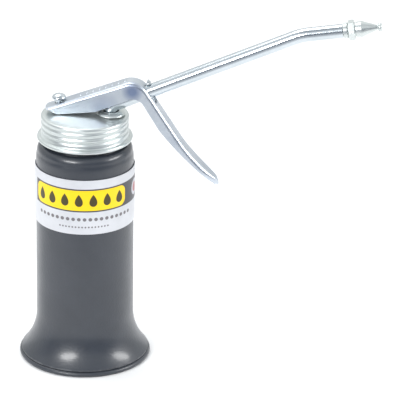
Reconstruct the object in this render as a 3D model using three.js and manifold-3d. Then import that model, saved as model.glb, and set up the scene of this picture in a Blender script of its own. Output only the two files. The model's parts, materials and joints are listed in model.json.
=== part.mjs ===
// Handy oiler can: a flared reservoir under a screw cap that carries a trigger pump and a long spout.
// Millimetres, +Z up. The spout points along +X and everything is symmetrical about the XZ plane.
// The origin is on the can's axis, at the level the can stands on.
import * as THREE from 'three';
import { mergeVertices } from 'three/addons/utils/BufferGeometryUtils.js';
import Module from 'manifold-3d';

const wasm = await Module();
wasm.setup();

// Fits
const gap = 0.3; // between two pieces that touch
const threadGap = 0.35; // radial, between the cap's thread and the neck's
const slotPlay = 0.35; // round what passes through the lever
const leverPlay = 0.6; // between the spout and the lever's sides

// Reservoir
const bodyRadius = 22.5;
const canHeight = 117; // up to the rim of the neck
const canWall = 0.7;
const flareRadius = 28; // concave sweep into the foot
const flareSpread = 7; // the foot's radius beyond the body's
const footLip = 0.6;
const seamRadius = 1.2; // rolled bead that joins the base to the body
const seamInset = 0.2; // the bead's middle, inside the foot's edge
const seamLand = 1.9; // flat width of the bead's underside
const panRecess = 1;
const panSheet = 0.8;
const shoulderHeight = 8;
const neckHeight = 11;
const neckRadius = 18.65; // at the root of its thread
const labelSheet = 0.25;
const labelHeight = 26.6;
const labelBelowShoulder = 2.2;
const labelWrap = 300; // degrees, open at the back

// Cap thread, rolled into the sheet
const threadPitch = 2.8;
const threadDepth = 0.5;
const threadFade = 1.2; // height over which a thread runs in or out
const rowsPerPitch = 4;

// Screw cap, heights from the neck's rim
const capSheet = 0.7;
const capThreadLow = -6;
const capThreadHigh = 1.7;
const capRound = 1.1; // at the edge of the roof
const roofTop = 3.5;
const roofCrown = 0.8;
const lipLow = -9.2;
const lipProud = 1.8; // the rolled lip beyond the thread's crest
const lipBead = 1.9;
const gasketSheet = 1.3;
const gasketWidth = 1.3;

// Pump head, a block under the cap's roof with the barrel's and the spout's bores
const headTop = 1.6;
const headDepth = 10;
const neckRoom = 0.85; // between the pump head's rear end and the neck
const barrelBore = 3.9;
const headWall = 1.3;
const chamberTop = -3.2;
const packingFloor = -1.8;
const packingWidth = 0.8;
const packingHeight = 2;
const crossBoreHeight = -6.6;
const crossBore = 1.3;

// Barrel and foot valve
const barrelWall = 0.7;
const barrelLength = 34.3;
const valveBore = 1.2;
const seatChamfer = 0.8;
const valveStem = 3.8;
const valveFlange = 2.2;
const spigotLength = 2;
const spigotWall = 1;
const pickupRadius = 1.6;
const pickupBore = 1;
const pickupSocket = 4;
const pickupKick = 5; // the foot of the pickup tube leans out by this much
const pickupKickHeight = 19;
const pickupFloorGap = 4.2;
const inletBallRadius = 1.8;
const ballLift = 1.2;
const cageSheet = 0.7;

// Plunger
const rodRadius = 1.5;
const rodHeadRadius = 3.3;
const rodHeadHeight = 1.9;
const rodHeadRim = 0.4;
const pistonTop = -24.1;
const pistonWasher = 0.8;
const washerSlack = 0.2; // inside the leather cup's radius
const cupHeight = 3;
const cupLip = 0.8;
const nutHeight = 2.4;
const nutAcrossCorners = 6;
const rodTail = 0.4; // nut beyond the rod's end
const springWire = 0.35;
const springTurns = 7;
const bushCollar = 0.6;
const bushFlange = 0.8;

// Spout
const tubeRadius = 3.175;
const tubeWall = 1;
const spoutWall = 0.95; // of the pump head round the tube
const spoutRoom = 1.5; // between the pump head's front end and the neck
const spoutRise = 24; // degrees
const rootBendInside = 1; // inner radius of the bend at the spout's root
const bendInSocket = 0.5; // start of that bend below the socket's top
const kneeX = 98.1;
const kneeBend = 25;
const tipRise = 9; // degrees
const tipRun = 18.6; // along X, from the knee to the end of the tube
const tubeFoot = -1.8;
const socketPlay = 0.4;
const socketWall = 0.7;
const socketFlange = 1.15;
const outletBallRadius = 1.6;
const outletChamber = 2.5;
const outletSeat = -4.7;

// Nozzle, lengths along the tip of the spout
const nozzleBore = 0.7;
const ferruleBore = 1.1;
const ferruleSpigot = 4;
const ferruleRadius = 3.6;
const ferruleLength = 2;
const studRadius = 2;
const studLength = 2.7;
const hexFlats = 8.2;
const hexLength = 2.8;
const barrelNose = 3.5;
const noseRadius = 3.7;
const coneLength = 6.4;
const waistRadius = 1.15;
const waistLength = 0.6;
const beadRadius = 1.9;
const beadLength = 1.8;

// Trigger lever, an inverted channel that hooks over the spout
const leverSheet = 1;
const foldRadius = 1.4;
const pivotStation = 31.8; // along the spout
const pivotProud = 0.4; // above the tube
const rearSlope = 21; // degrees
const frontSlope = 57; // degrees, downwards
const webRise = 4.82; // the rear web above the pivot, square to it
const noseBend = 9;
const rearOverhang = 6.3; // beyond the rod
const rearFullness = 1.3; // of the rounded rear end's radius beyond half the width
const gripStraight = 29.6; // from the pivot down the front
const gripTip = [33.6, -43.8]; // from the pivot
const gripTipSlope = 42;
const tubeSlotDrop = 2.9; // room under the spout, for the lever to swing
const rodSlotRun = 1.25; // room ahead of the rod, for the lever to swing
const skirtRear = [-43.7, -12.8]; // corners of the skirts' lower edge, from the pivot
const skirtHeel = [-40, -14.5];
const skirtBelly = [-22.2, -12.5];
const skirtThroat = [-8, -6.4];
const skirtArch = [-4.2, -4.2];
const skirtFront = [-0.8, -7.6];
const skirtBow = [6.7, -19.9];
const skirtSweep = [14.9, -32.3];
const heelCut = 2.4;
const clipWidth = 3;
const clipSheet = 0.6;
const clipStart = 0.4; // along the spout, from the pivot
const clipLength = 2.4;
const clipHeight = 1.65;

// Worked out from the above
const radians = THREE.MathUtils.degToRad;
const spoutAngle = radians(spoutRise);
const tipAngle = radians(tipRise);
const footRadius = bodyRadius + flareSpread;
const neckBore = neckRadius - canWall;
const capCrest = neckRadius + threadDepth + threadGap + capSheet;
const pumpX = -(neckBore - neckRoom - barrelBore - headWall);
const tubeBoreInHead = tubeRadius + gap;
const spoutX = neckBore - spoutRoom - tubeBoreInHead - spoutWall;
const rootBend = tubeRadius + rootBendInside;
const socketTop = roofTop + gap + socketFlange;
const spoutCorner = socketTop - bendInSocket + rootBend * Math.tan((Math.PI / 2 - spoutAngle) / 2);
const spoutDatum = spoutCorner - spoutX * Math.tan(spoutAngle); // the spout's line over the can's axis
const headLow = headTop - headDepth;
const barrelTop = headLow - gap;
const barrelLow = barrelTop - barrelLength;
const pistonRadius = barrelBore - gap;
const springRadius = (pistonRadius + rodRadius) / 2;
const rodHole = rodRadius + gap;
const packingBore = rodHole + packingWidth + gap;
const leverWidth = 2 * (tubeRadius + leverPlay + leverSheet);
const pivot = [
  pivotStation * Math.cos(spoutAngle) - (tubeRadius + pivotProud) * Math.sin(spoutAngle),
  spoutDatum + pivotStation * Math.sin(spoutAngle) + (tubeRadius + pivotProud) * Math.cos(spoutAngle),
];
const leverRear = pumpX - rearOverhang - pivot[0];
// The rod's head rests on the rear web, which it first meets at its front edge.
const rodHeadLow = pivot[1] + gap + webRise / Math.cos(radians(rearSlope))
  + (pumpX + rodHeadRadius - pivot[0]) * Math.tan(radians(rearSlope));

const fine = 32; // facets round the can and the cap
const plain = 20; // facets round the pump's pieces
const tubeFacets = 12;
const pipeFacets = 7; // in half a turn of a pipe

// ---- Tools of the trade ----

const spoutLine = (x) => spoutDatum + x * Math.tan(spoutAngle);

// A turned piece: [radius, height] corners that run up the outside and back down the inside.
function turned(corners, facets = plain) {
  const profile = corners.map(([radius, height]) => new THREE.Vector2(radius, height));
  return new THREE.LatheGeometry(profile, facets).rotateX(Math.PI / 2);
}

function ring(inner, outer, low, high, facets) {
  return turned([[inner, low], [outer, low], [outer, high], [inner, high], [inner, low]], facets);
}

function bar(radius, low, high, facets) {
  return turned([[0, low], [radius, low], [radius, high], [0, high]], facets);
}

// Corners of an arc in a turned profile.
function arc(centreR, centreZ, radius, from, to, steps) {
  return Array.from({ length: steps + 1 }, (_, i) => {
    const angle = from + (to - from) * i / steps;
    return [centreR + radius * Math.cos(angle), centreZ + radius * Math.sin(angle)];
  });
}

// A flat outline in X and Z, given its width along Y.
function plate(outline, width, round = 0) {
  const geometry = new THREE.ExtrudeGeometry(outline, {
    depth: width - 2 * round,
    bevelEnabled: round > 0,
    bevelThickness: round,
    bevelSize: round,
    bevelOffset: -round,
    bevelSegments: 3,
    curveSegments: 8,
  });
  return geometry.translate(0, 0, round - width / 2).rotateX(Math.PI / 2);
}

// A centreline in the XZ plane, through corners that are bent to their radii.
class BentLine extends THREE.Curve {
  constructor(corners, radii, bendSteps) {
    super();
    const [first, last] = [corners[0], corners.at(-1)];
    this.points = [new THREE.Vector3(first[0], 0, first[1])];
    radii.forEach((radius, i) => this.bend(corners[i], corners[i + 1], corners[i + 2], radius, bendSteps));
    this.points.push(new THREE.Vector3(last[0], 0, last[1]));
  }

  bend(before, corner, after, radius, steps) {
    const tip = new THREE.Vector3(corner[0], 0, corner[1]);
    const back = new THREE.Vector3(before[0], 0, before[1]).sub(tip).normalize();
    const onward = new THREE.Vector3(after[0], 0, after[1]).sub(tip).normalize();
    const turn = Math.PI - back.angleTo(onward);
    const reach = radius / Math.cos(turn / 2);
    const centre = back.clone().add(onward).normalize().multiplyScalar(reach).add(tip);
    const start = back.multiplyScalar(radius * Math.tan(turn / 2)).add(tip).sub(centre);
    const end = onward.multiplyScalar(radius * Math.tan(turn / 2)).add(tip).sub(centre);
    const axis = start.clone().cross(end).normalize();
    for (let i = 0; i <= steps; i++) {
      this.points.push(start.clone().applyAxisAngle(axis, turn * i / steps).add(centre));
    }
  }

  getPoint(t) {
    const place = t * (this.points.length - 1);
    const i = Math.min(Math.floor(place), this.points.length - 2);
    return this.points[i].clone().lerp(this.points[i + 1], place - i);
  }

  getPointAt(t) {
    return this.getPoint(t);
  }

  getTangentAt(t) {
    const half = 0.5 / (this.points.length - 1);
    return this.getPoint(Math.min(1, t + half)).sub(this.getPoint(Math.max(0, t - half))).normalize();
  }

  getSpacedPoints(count) {
    return Array.from({ length: count + 1 }, (_, i) => this.getPoint(i / count));
  }
}

function piped(line, radius, bore) {
  const section = new THREE.Shape().absarc(0, 0, radius, 0, 2 * Math.PI);
  section.holes.push(new THREE.Path().absarc(0, 0, bore, 0, 2 * Math.PI, true));
  return new THREE.ExtrudeGeometry(section, {
    extrudePath: line,
    steps: line.points.length - 1,
    curveSegments: pipeFacets,
  });
}

function solid(geometry) {
  const bare = geometry.clone();
  bare.deleteAttribute('normal');
  bare.deleteAttribute('uv');
  const merged = mergeVertices(bare, 1e-5);
  const corners = merged.index.array;
  const kept = [];
  for (let i = 0; i < corners.length; i += 3) {
    const [a, b, c] = corners.subarray(i, i + 3);
    if (a !== b && b !== c && c !== a) kept.push(a, b, c);
  }
  const vertProperties = new Float32Array(merged.attributes.position.array);
  return new wasm.Manifold(new wasm.Mesh({ numProp: 3, vertProperties, triVerts: new Uint32Array(kept) }));
}

function surface(manifold) {
  const { vertProperties, triVerts } = manifold.getMesh();
  const geometry = new THREE.BufferGeometry();
  geometry.setAttribute('position', new THREE.BufferAttribute(vertProperties, 3));
  geometry.setIndex(new THREE.BufferAttribute(triVerts, 1));
  return geometry;
}

function cut(body, ...tools) {
  return surface(tools.reduce((left, tool) => left.subtract(solid(tool)), solid(body)));
}
const joined = (...pieces) => surface(pieces.map(solid).reduce((whole, piece) => whole.add(piece)));

// Rolls the thread into turned sheet. Heights are from the neck's rim, so that the cap's thread and the
// neck's share one helix. A thread on the neck stands out of its root, and one in the cap is pressed into
// its crest.
function rollThread(geometry, low, high, rimHeight, pressedIn) {
  const position = geometry.attributes.position;
  for (let i = 0; i < position.count; i++) {
    const [x, y, z] = [position.getX(i), position.getY(i), position.getZ(i)];
    const height = z - rimHeight;
    const fade = THREE.MathUtils.clamp(Math.min(height - low, high - height) / threadFade, 0, 1);
    const wave = 0.5 + 0.5 * Math.cos(2 * Math.PI * height / threadPitch - Math.atan2(y, x));
    const shift = threadDepth * fade * (pressedIn ? wave - 1 : wave);
    const radius = Math.hypot(x, y);
    if (radius > 0) position.setXYZ(i, x * (radius + shift) / radius, y * (radius + shift) / radius, z);
  }
  return geometry;
}

// Evenly spaced heights through a threaded stretch.
function threadRows(low, high) {
  const count = Math.round((high - low) * rowsPerPitch / threadPitch);
  return Array.from({ length: count + 1 }, (_, i) => low + (high - low) * i / count);
}

function finish(color, roughness, metalness) {
  return new THREE.MeshStandardMaterial({ color, roughness, metalness });
}

const finishes = {
  blackPaint: finish(0x4b4f55, 0.35, 0.2),
  zinc: finish(0xb9c0c4, 0.3, 1),
  brass: finish(0xb5964e, 0.35, 1),
  steel: finish(0xa6a9ac, 0.3, 1),
  label: finish(0xc9ced2, 0.6, 0),
  rubber: finish(0x222222, 0.9, 0),
  leather: finish(0x5a3b22, 0.9, 0),
};

function piece(name, geometry, material) {
  const mesh = new THREE.Mesh(geometry, material);
  mesh.name = name;
  return mesh;
}

// ---- Reservoir ----

const seamCentre = footRadius - seamInset;
const footLow = 2 * seamRadius + gap;
const flareTurn = Math.acos(1 - flareSpread / flareRadius);
const flareTop = footLow + footLip + flareRadius * Math.sin(flareTurn);
const flareCentre = bodyRadius + flareRadius;
const shoulderTop = canHeight - neckHeight;
const shoulderLow = shoulderTop - shoulderHeight;

function canBody() {
  const innerTurn = Math.asin((flareTop - footLow) / (flareRadius + canWall));
  const shoulder = (inset) => Array.from({ length: 6 }, (_, i) => {
    const angle = Math.PI / 2 * i / 5;
    return [
      neckRadius - inset + (bodyRadius - neckRadius) * Math.cos(angle),
      shoulderLow - inset + shoulderHeight * Math.sin(angle),
    ];
  });
  const threadLow = shoulderTop + 1.5;
  const neckRows = threadRows(threadLow, canHeight - 0.4);
  const outside = [
    [footRadius, footLow],
    ...arc(flareCentre, flareTop, flareRadius, Math.PI + flareTurn, Math.PI, 6),
    ...shoulder(0),
    ...neckRows.map((height) => [neckRadius, height]),
    [neckRadius, canHeight],
  ];
  const inside = [
    [neckBore, canHeight],
    ...shoulder(canWall).reverse(),
    ...arc(flareCentre, flareTop, flareRadius + canWall, Math.PI, Math.PI + innerTurn, 6),
    [footRadius, footLow],
  ];
  const shell = turned([...outside, ...inside], fine);
  return rollThread(shell, threadLow - canHeight, -0.4, canHeight, false);
}

function basePan() {
  return turned([
    [0, panRecess],
    [seamCentre - seamLand - 1.2, panRecess],
    [seamCentre - seamLand, 0],
    ...arc(seamCentre, seamRadius, seamRadius, -Math.PI / 2, Math.PI / 2, 6),
    [seamCentre - seamLand, 2 * seamRadius],
    [seamCentre - seamLand - 0.8, panRecess + panSheet],
    [0, panRecess + panSheet],
  ], fine);
}

function label() {
  const inner = bodyRadius + gap;
  const outer = inner + labelSheet;
  const open = radians(360 - labelWrap) / 2;
  const [start, end] = [Math.PI / 2 + open, Math.PI / 2 - open + 2 * Math.PI];
  const band = new THREE.Shape();
  band.absarc(0, 0, outer, start, end);
  band.absarc(0, 0, inner, end, start, true);
  const low = shoulderLow - labelBelowShoulder - labelHeight;
  const geometry = new THREE.ExtrudeGeometry(band, {
    depth: labelHeight,
    bevelEnabled: false,
    curveSegments: 36,
  });
  return geometry.translate(0, 0, low);
}

const reservoir = new THREE.Group();
reservoir.add(
  piece('can_body', canBody(), finishes.blackPaint),
  piece('base_pan', basePan(), finishes.blackPaint),
  piece('product_label', label(), finishes.label),
);

// ---- Cap and pump, heights from the neck's rim ----

const roof = (radius, top) => [radius, top - roofCrown * (radius / (capCrest - capRound)) ** 2];
const roofRim = capCrest - capRound;

function screwCap() {
  const lip = capCrest + lipProud;
  const bead = lipBead / 2;
  const outside = [
    [lip - bead, lipLow],
    ...arc(lip - bead, lipLow + bead, bead, -Math.PI / 3, Math.PI / 2, 4),
    [capCrest + lipProud * 0.3, lipLow + lipBead + 0.5],
    ...threadRows(capThreadLow, capThreadHigh).map((height) => [capCrest, height]),
    ...arc(roofRim, roofTop - roofCrown - capRound, capRound, 0, Math.PI / 2, 3),
    roof(roofRim * 0.6, roofTop),
    [0, roofTop],
  ];
  const inner = capCrest - capSheet;
  const innerTop = roofTop - roofCrown - capRound;
  const inside = [
    [0, roofTop - capSheet],
    roof(roofRim * 0.6, roofTop - capSheet),
    [roofRim - 0.4, roofTop - roofCrown - capSheet],
    [inner, innerTop - 0.4],
    ...threadRows(capThreadLow, innerTop - 1).reverse().map((height) => [inner, height]),
    [inner + 0.4, lipLow + lipBead],
    [lip - bead - 0.5, lipLow + 0.25],
    [lip - bead, lipLow],
  ];
  const shell = rollThread(turned([...outside, ...inside], fine), capThreadLow, capThreadHigh, 0, true);
  const rodOpening = bar(packingBore, 0, roofTop + 1).translate(pumpX, 0, 0);
  const socketRoom = tubeRadius + socketPlay + socketWall + gap;
  const spoutOpening = bar(socketRoom, 0, roofTop + 1).translate(spoutX, 0, 0);
  return cut(shell, rodOpening, spoutOpening);
}

function capGasket() {
  const outer = capCrest - capSheet - threadDepth - gap;
  return ring(outer - gasketWidth, outer, gap, gap + gasketSheet, fine);
}

function pumpHead() {
  const outline = new THREE.Shape();
  outline.absarc(spoutX, 0, tubeBoreInHead + spoutWall, -Math.PI / 2, Math.PI / 2);
  outline.absarc(pumpX, 0, barrelBore + headWall, Math.PI / 2, 3 * Math.PI / 2);
  const block = new THREE.ExtrudeGeometry(outline, {
    depth: headDepth,
    bevelEnabled: false,
    curveSegments: 10,
  });
  block.translate(0, 0, headLow);
  const passage = bar(crossBore, 0, spoutX - pumpX + crossBore, tubeFacets).rotateY(Math.PI / 2);
  return cut(
    block,
    bar(barrelBore, headLow - 1, chamberTop).translate(pumpX, 0, 0),
    bar(rodHole, chamberTop - 1, headTop, tubeFacets).translate(pumpX, 0, 0),
    bar(packingBore, packingFloor, headTop + 1).translate(pumpX, 0, 0),
    passage.translate(pumpX, 0, crossBoreHeight),
    bar(valveBore, crossBoreHeight, outletSeat + 1, tubeFacets).translate(spoutX, 0, 0),
    bar(outletChamber, outletSeat, headTop, tubeFacets).translate(spoutX, 0, 0),
    bar(tubeBoreInHead, tubeFoot - gap, headTop + 1).translate(spoutX, 0, 0),
  );
}

function rodPacking() {
  const low = packingFloor + gap;
  return ring(rodHole, packingBore - gap, low, low + packingHeight);
}

function glandBush() {
  const stem = packingBore - gap;
  const low = packingFloor + packingHeight + 2 * gap;
  const collar = roofTop + gap;
  return turned([
    [rodHole, low],
    [stem, low],
    [stem, collar],
    [stem + bushCollar, collar],
    [stem + bushCollar, collar + bushFlange],
    [rodHole, collar + bushFlange],
    [rodHole, low],
  ]);
}

function footValveSeat() {
  const socket = pickupRadius + gap;
  const shelf = barrelLow - gap;
  const flangeLow = shelf - valveFlange;
  const end = flangeLow - spigotLength;
  const top = shelf + valveStem;
  return turned([
    [socket, end],
    [socket + spigotWall, end],
    [socket + spigotWall, flangeLow],
    [barrelBore + barrelWall, flangeLow],
    [barrelBore + barrelWall, shelf],
    [pistonRadius, shelf],
    [pistonRadius, top],
    [valveBore + seatChamfer, top],
    [valveBore, top - seatChamfer],
    [valveBore, end + pickupSocket],
    [socket, end + pickupSocket],
    [socket, end],
  ]);
}

const valveTop = barrelLow - gap + valveStem;
// The ball rests on the seat's 45 degree chamfer, a gap clear of it.
const inletBallHeight = valveTop - seatChamfer - valveBore + (inletBallRadius + gap) * Math.SQRT2;
const cageLow = inletBallHeight + inletBallRadius + ballLift + gap;
const outletBallHeight = outletSeat + Math.sqrt(outletBallRadius ** 2 - valveBore ** 2) + gap;

function ball(radius, height) {
  return new THREE.SphereGeometry(radius, 12, 8).translate(0, 0, height);
}

function ballCage() {
  const hoop = ring(pistonRadius - 0.8, pistonRadius, cageLow, cageLow + cageSheet);
  const spoke = new THREE.BoxGeometry(2 * pistonRadius - 0.8, 1, cageSheet);
  spoke.translate(0, 0, cageLow + cageSheet / 2);
  return joined(hoop, spoke);
}

function pickupTube() {
  const top = barrelLow - gap - valveFlange - spigotLength + pickupSocket - gap;
  const foot = panRecess + panSheet + pickupFloorGap - canHeight;
  const route = [[pumpX, top], [pumpX, foot + pickupKickHeight], [pumpX - pickupKick, foot]];
  return piped(new BentLine(route, [30], 4), pickupRadius, pickupBore);
}

class Coil extends THREE.Curve {
  constructor(radius, low, high, turns) {
    super();
    Object.assign(this, { radius, low, high, turns });
  }

  getPoint(t) {
    const angle = 2 * Math.PI * this.turns * t;
    const height = THREE.MathUtils.lerp(this.low, this.high, t);
    return new THREE.Vector3(this.radius * Math.cos(angle), this.radius * Math.sin(angle), height);
  }
}

function returnSpring() {
  const low = pistonTop + gap + springWire;
  const high = chamberTop - gap - springWire;
  const wire = new THREE.Shape().absarc(0, 0, springWire, 0, 2 * Math.PI);
  const coil = new Coil(springRadius, low, high, springTurns);
  return new THREE.ExtrudeGeometry(wire, { extrudePath: coil, steps: springTurns * 8, curveSegments: 3 });
}

// Pieces that the pump's rod and barrel line up
const pumpLine = new THREE.Group();
pumpLine.position.x = pumpX;
pumpLine.add(
  piece('rod_packing', rodPacking(), finishes.leather),
  piece('gland_bush', glandBush(), finishes.brass),
  piece('pump_barrel', ring(barrelBore, barrelBore + barrelWall, barrelLow, barrelTop), finishes.brass),
  piece('return_spring', returnSpring(), finishes.steel),
  piece('foot_valve_seat', footValveSeat(), finishes.brass),
  piece('ball_cage', ballCage(), finishes.brass),
  piece('inlet_ball', ball(inletBallRadius, inletBallHeight), finishes.steel),
);

// ---- Plunger ----

function pistonWasherRing() {
  return ring(rodHole, pistonRadius - washerSlack, pistonTop - pistonWasher, pistonTop);
}

function plungerRod() {
  const low = pistonTop - pistonWasher - cupHeight - 2 * gap - nutHeight + rodTail;
  const dome = rodHeadHeight - rodHeadRim;
  return turned([
    [0, low],
    [rodRadius, low],
    [rodRadius, rodHeadLow],
    [rodHeadRadius, rodHeadLow],
    ...[0, 1, 2, 3, 4].map((i) => {
      const angle = Math.PI / 2 * i / 4;
      return [rodHeadRadius * Math.cos(angle), rodHeadLow + rodHeadRim + dome * Math.sin(angle)];
    }),
  ].map(([radius, height]) => [radius < 1e-6 ? 0 : radius, height]));
}

function pistonCup() {
  const top = pistonTop - pistonWasher - gap;
  const low = top - cupHeight;
  return turned([
    [rodHole, low],
    [pistonRadius - cupLip - 0.3, low],
    [pistonRadius - cupLip, top - cupLip - 0.9],
    [pistonRadius, top - cupLip - 0.9],
    [pistonRadius, top],
    [pistonRadius - cupLip, top],
    [pistonRadius - cupLip - 0.2, top - cupLip],
    [rodHole, top - cupLip],
    [rodHole, low],
  ]);
}

function pistonNut() {
  const top = pistonTop - pistonWasher - cupHeight - 2 * gap;
  const hexagon = new THREE.CylinderGeometry(nutAcrossCorners / 2, nutAcrossCorners / 2, nutHeight, 6);
  hexagon.rotateX(Math.PI / 2).translate(0, 0, top - nutHeight / 2);
  return cut(hexagon, bar(rodHole, top - nutHeight - 1, top + 1));
}

pumpLine.add(
  piece('plunger_rod', plungerRod(), finishes.zinc),
  piece('piston_washer', pistonWasherRing(), finishes.steel),
  piece('piston_cup', pistonCup(), finishes.leather),
  piece('piston_nut', pistonNut(), finishes.brass),
);

// ---- Spout ----

const kneeHeight = spoutLine(kneeX);
const tubeEnd = [kneeX + tipRun, kneeHeight + tipRun * Math.tan(tipAngle)];

function spoutTube() {
  const route = [[spoutX, tubeFoot], [spoutX, spoutLine(spoutX)], [kneeX, kneeHeight], tubeEnd];
  return piped(new BentLine(route, [rootBend, kneeBend], 6), tubeRadius, tubeRadius - tubeWall);
}

function spoutSocket() {
  const bore = tubeRadius + socketPlay;
  const stem = bore + socketWall;
  const low = headTop + gap;
  const collar = roofTop + gap;
  return turned([
    [bore, low],
    [stem, low],
    [stem, collar],
    [stem + 0.5, collar],
    [stem + 0.5, socketTop - 0.4],
    [stem + 0.1, socketTop],
    [bore, socketTop],
    [bore, low],
  ], fine / 2);
}

// A strip folded to an inverted V across the spout, which the lever's slot hooks under.
function fulcrumClip() {
  const foot = -(tubeRadius + gap);
  const start = pivotStation + clipStart;
  const end = start + clipLength;
  const ridge = start + clipLength * 0.6;
  const outline = new THREE.Shape();
  outline.moveTo(foot, start);
  outline.lineTo(foot - clipHeight, ridge - clipSheet / 3);
  outline.lineTo(foot - clipHeight, ridge + clipSheet / 3);
  outline.lineTo(foot, end);
  outline.lineTo(foot, end - clipSheet);
  outline.lineTo(foot - clipHeight + clipSheet, ridge);
  outline.lineTo(foot, start + clipSheet);
  return plate(outline, clipWidth);
}

function tubeFerrule() {
  const spigot = tubeRadius - tubeWall - gap;
  const low = gap;
  return turned([
    [ferruleBore, -ferruleSpigot],
    [spigot, -ferruleSpigot],
    [spigot, low],
    [ferruleRadius, low],
    [ferruleRadius, low + ferruleLength],
    [studRadius, low + ferruleLength],
    [studRadius, low + ferruleLength + studLength],
    [ferruleBore, low + ferruleLength + studLength],
    [ferruleBore, -ferruleSpigot],
  ]);
}

function nozzleTip() {
  const low = 2 * gap + ferruleLength;
  const socketEnd = low + studLength + gap;
  const nose = low + hexLength;
  const cone = nose + barrelNose;
  const waist = cone + coneLength;
  const bead = waist + waistLength;
  const end = bead + beadLength;
  const shape = turned([
    [0, low],
    [noseRadius, low],
    [noseRadius, cone],
    [waistRadius, waist],
    [waistRadius, bead],
    [beadRadius, bead + 0.3],
    [beadRadius, end - 0.3],
    [beadRadius - 0.3, end],
    [0, end],
  ]);
  const hexRadius = hexFlats / Math.sqrt(3);
  const hexagon = new THREE.CylinderGeometry(hexRadius, hexRadius, hexLength, 6).rotateX(Math.PI / 2);
  hexagon.translate(0, 0, low + hexLength / 2);
  const socket = bar(studRadius + gap, low - 1, socketEnd);
  return cut(joined(shape, hexagon), socket, bar(nozzleBore, low - 1, end + 1, tubeFacets));
}

const alongSpout = new THREE.Group();
alongSpout.position.z = spoutDatum;
alongSpout.rotation.y = Math.PI / 2 - spoutAngle;
alongSpout.add(piece('fulcrum_clip', fulcrumClip(), finishes.zinc));

const alongTip = new THREE.Group();
alongTip.position.set(tubeEnd[0], 0, tubeEnd[1]);
alongTip.rotation.y = Math.PI / 2 - tipAngle;
alongTip.add(
  piece('tube_ferrule', tubeFerrule(), finishes.brass),
  piece('nozzle_tip', nozzleTip(), finishes.zinc),
);

const spoutRoot = new THREE.Group();
spoutRoot.position.x = spoutX;
spoutRoot.add(
  piece('spout_socket', spoutSocket(), finishes.zinc),
  piece('outlet_ball', ball(outletBallRadius, outletBallHeight), finishes.steel),
);

// ---- Trigger lever, drawn from its pivot ----

const [rearTilt, frontTilt, tipTilt] = [radians(rearSlope), radians(frontSlope), radians(gripTipSlope)];

// The web's side view, inset from its outer face. Run past both ends, it cuts the channel open there.
function webOutline(inset, runOut) {
  const rise = webRise - inset;
  const rearHeight = (x) => rise / Math.cos(rearTilt) + x * Math.tan(rearTilt);
  // The front face's line passes through the pivot when inset is 0.
  const spread = rise / Math.cos(rearTilt) + inset / Math.cos(frontTilt);
  const cornerX = -spread / (Math.tan(rearTilt) + Math.tan(frontTilt));
  const half = (rearTilt + frontTilt) / 2;
  const reach = (noseBend - inset) / Math.cos(half);
  const lean = (frontTilt - rearTilt) / 2;
  const centre = [cornerX - reach * Math.sin(lean), rearHeight(cornerX) - reach * Math.cos(lean)];
  const frontNormal = [Math.sin(frontTilt), Math.cos(frontTilt)];
  const tipNormal = [Math.sin(tipTilt), Math.cos(tipTilt)];
  const down = [Math.cos(frontTilt), -Math.sin(frontTilt)];
  const tipRunOut = [Math.cos(tipTilt) * runOut, -Math.sin(tipTilt) * runOut];
  const bow = [0, 1].map((k) => down[k] * gripStraight - frontNormal[k] * inset);
  const tip = [0, 1].map((k) => gripTip[k] - tipNormal[k] * inset);
  // Where the straight grip's line and the tip's line cross
  const span = [tip[0] - bow[0], tip[1] - bow[1]];
  const along = (span[0] * Math.sin(tipTilt) + span[1] * Math.cos(tipTilt)) / Math.sin(tipTilt - frontTilt);
  const knee = [0, 1].map((k) => bow[k] + down[k] * along);
  const outline = new THREE.Shape();
  outline.moveTo(leverRear - runOut, rearHeight(leverRear - runOut));
  outline.lineTo(leverRear / 2, rearHeight(leverRear / 2));
  const [noseStart, noseEnd] = [Math.PI / 2 + rearTilt, Math.PI / 2 - frontTilt];
  outline.absarc(centre[0], centre[1], noseBend - inset, noseStart, noseEnd, true);
  outline.lineTo(...bow);
  outline.quadraticCurveTo(...knee, ...tip);
  outline.lineTo(tip[0] + tipRunOut[0], tip[1] + tipRunOut[1]);
  return outline;
}

function skirtOutline() {
  const rearTop = webRise / Math.cos(rearTilt) + leverRear * Math.tan(rearTilt);
  const margin = 2;
  const outline = new THREE.Shape();
  outline.moveTo(leverRear - margin, rearTop - 1.3 * leverSheet);
  outline.lineTo(...skirtRear);
  outline.lineTo(...skirtHeel);
  outline.lineTo(...skirtBelly);
  outline.lineTo(...skirtThroat);
  outline.quadraticCurveTo(...skirtArch, ...skirtFront);
  outline.lineTo(...skirtBow);
  outline.quadraticCurveTo(...skirtSweep, gripTip[0] - 1.6, gripTip[1] - 0.2);
  outline.lineTo(gripTip[0] + margin, gripTip[1] - heelCut);
  outline.lineTo(gripTip[0] + margin, webRise + margin);
  outline.lineTo(leverRear - margin, webRise + margin);
  return outline;
}

const slotCut = { depth: 12, bevelEnabled: false, curveSegments: 6 };

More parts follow.
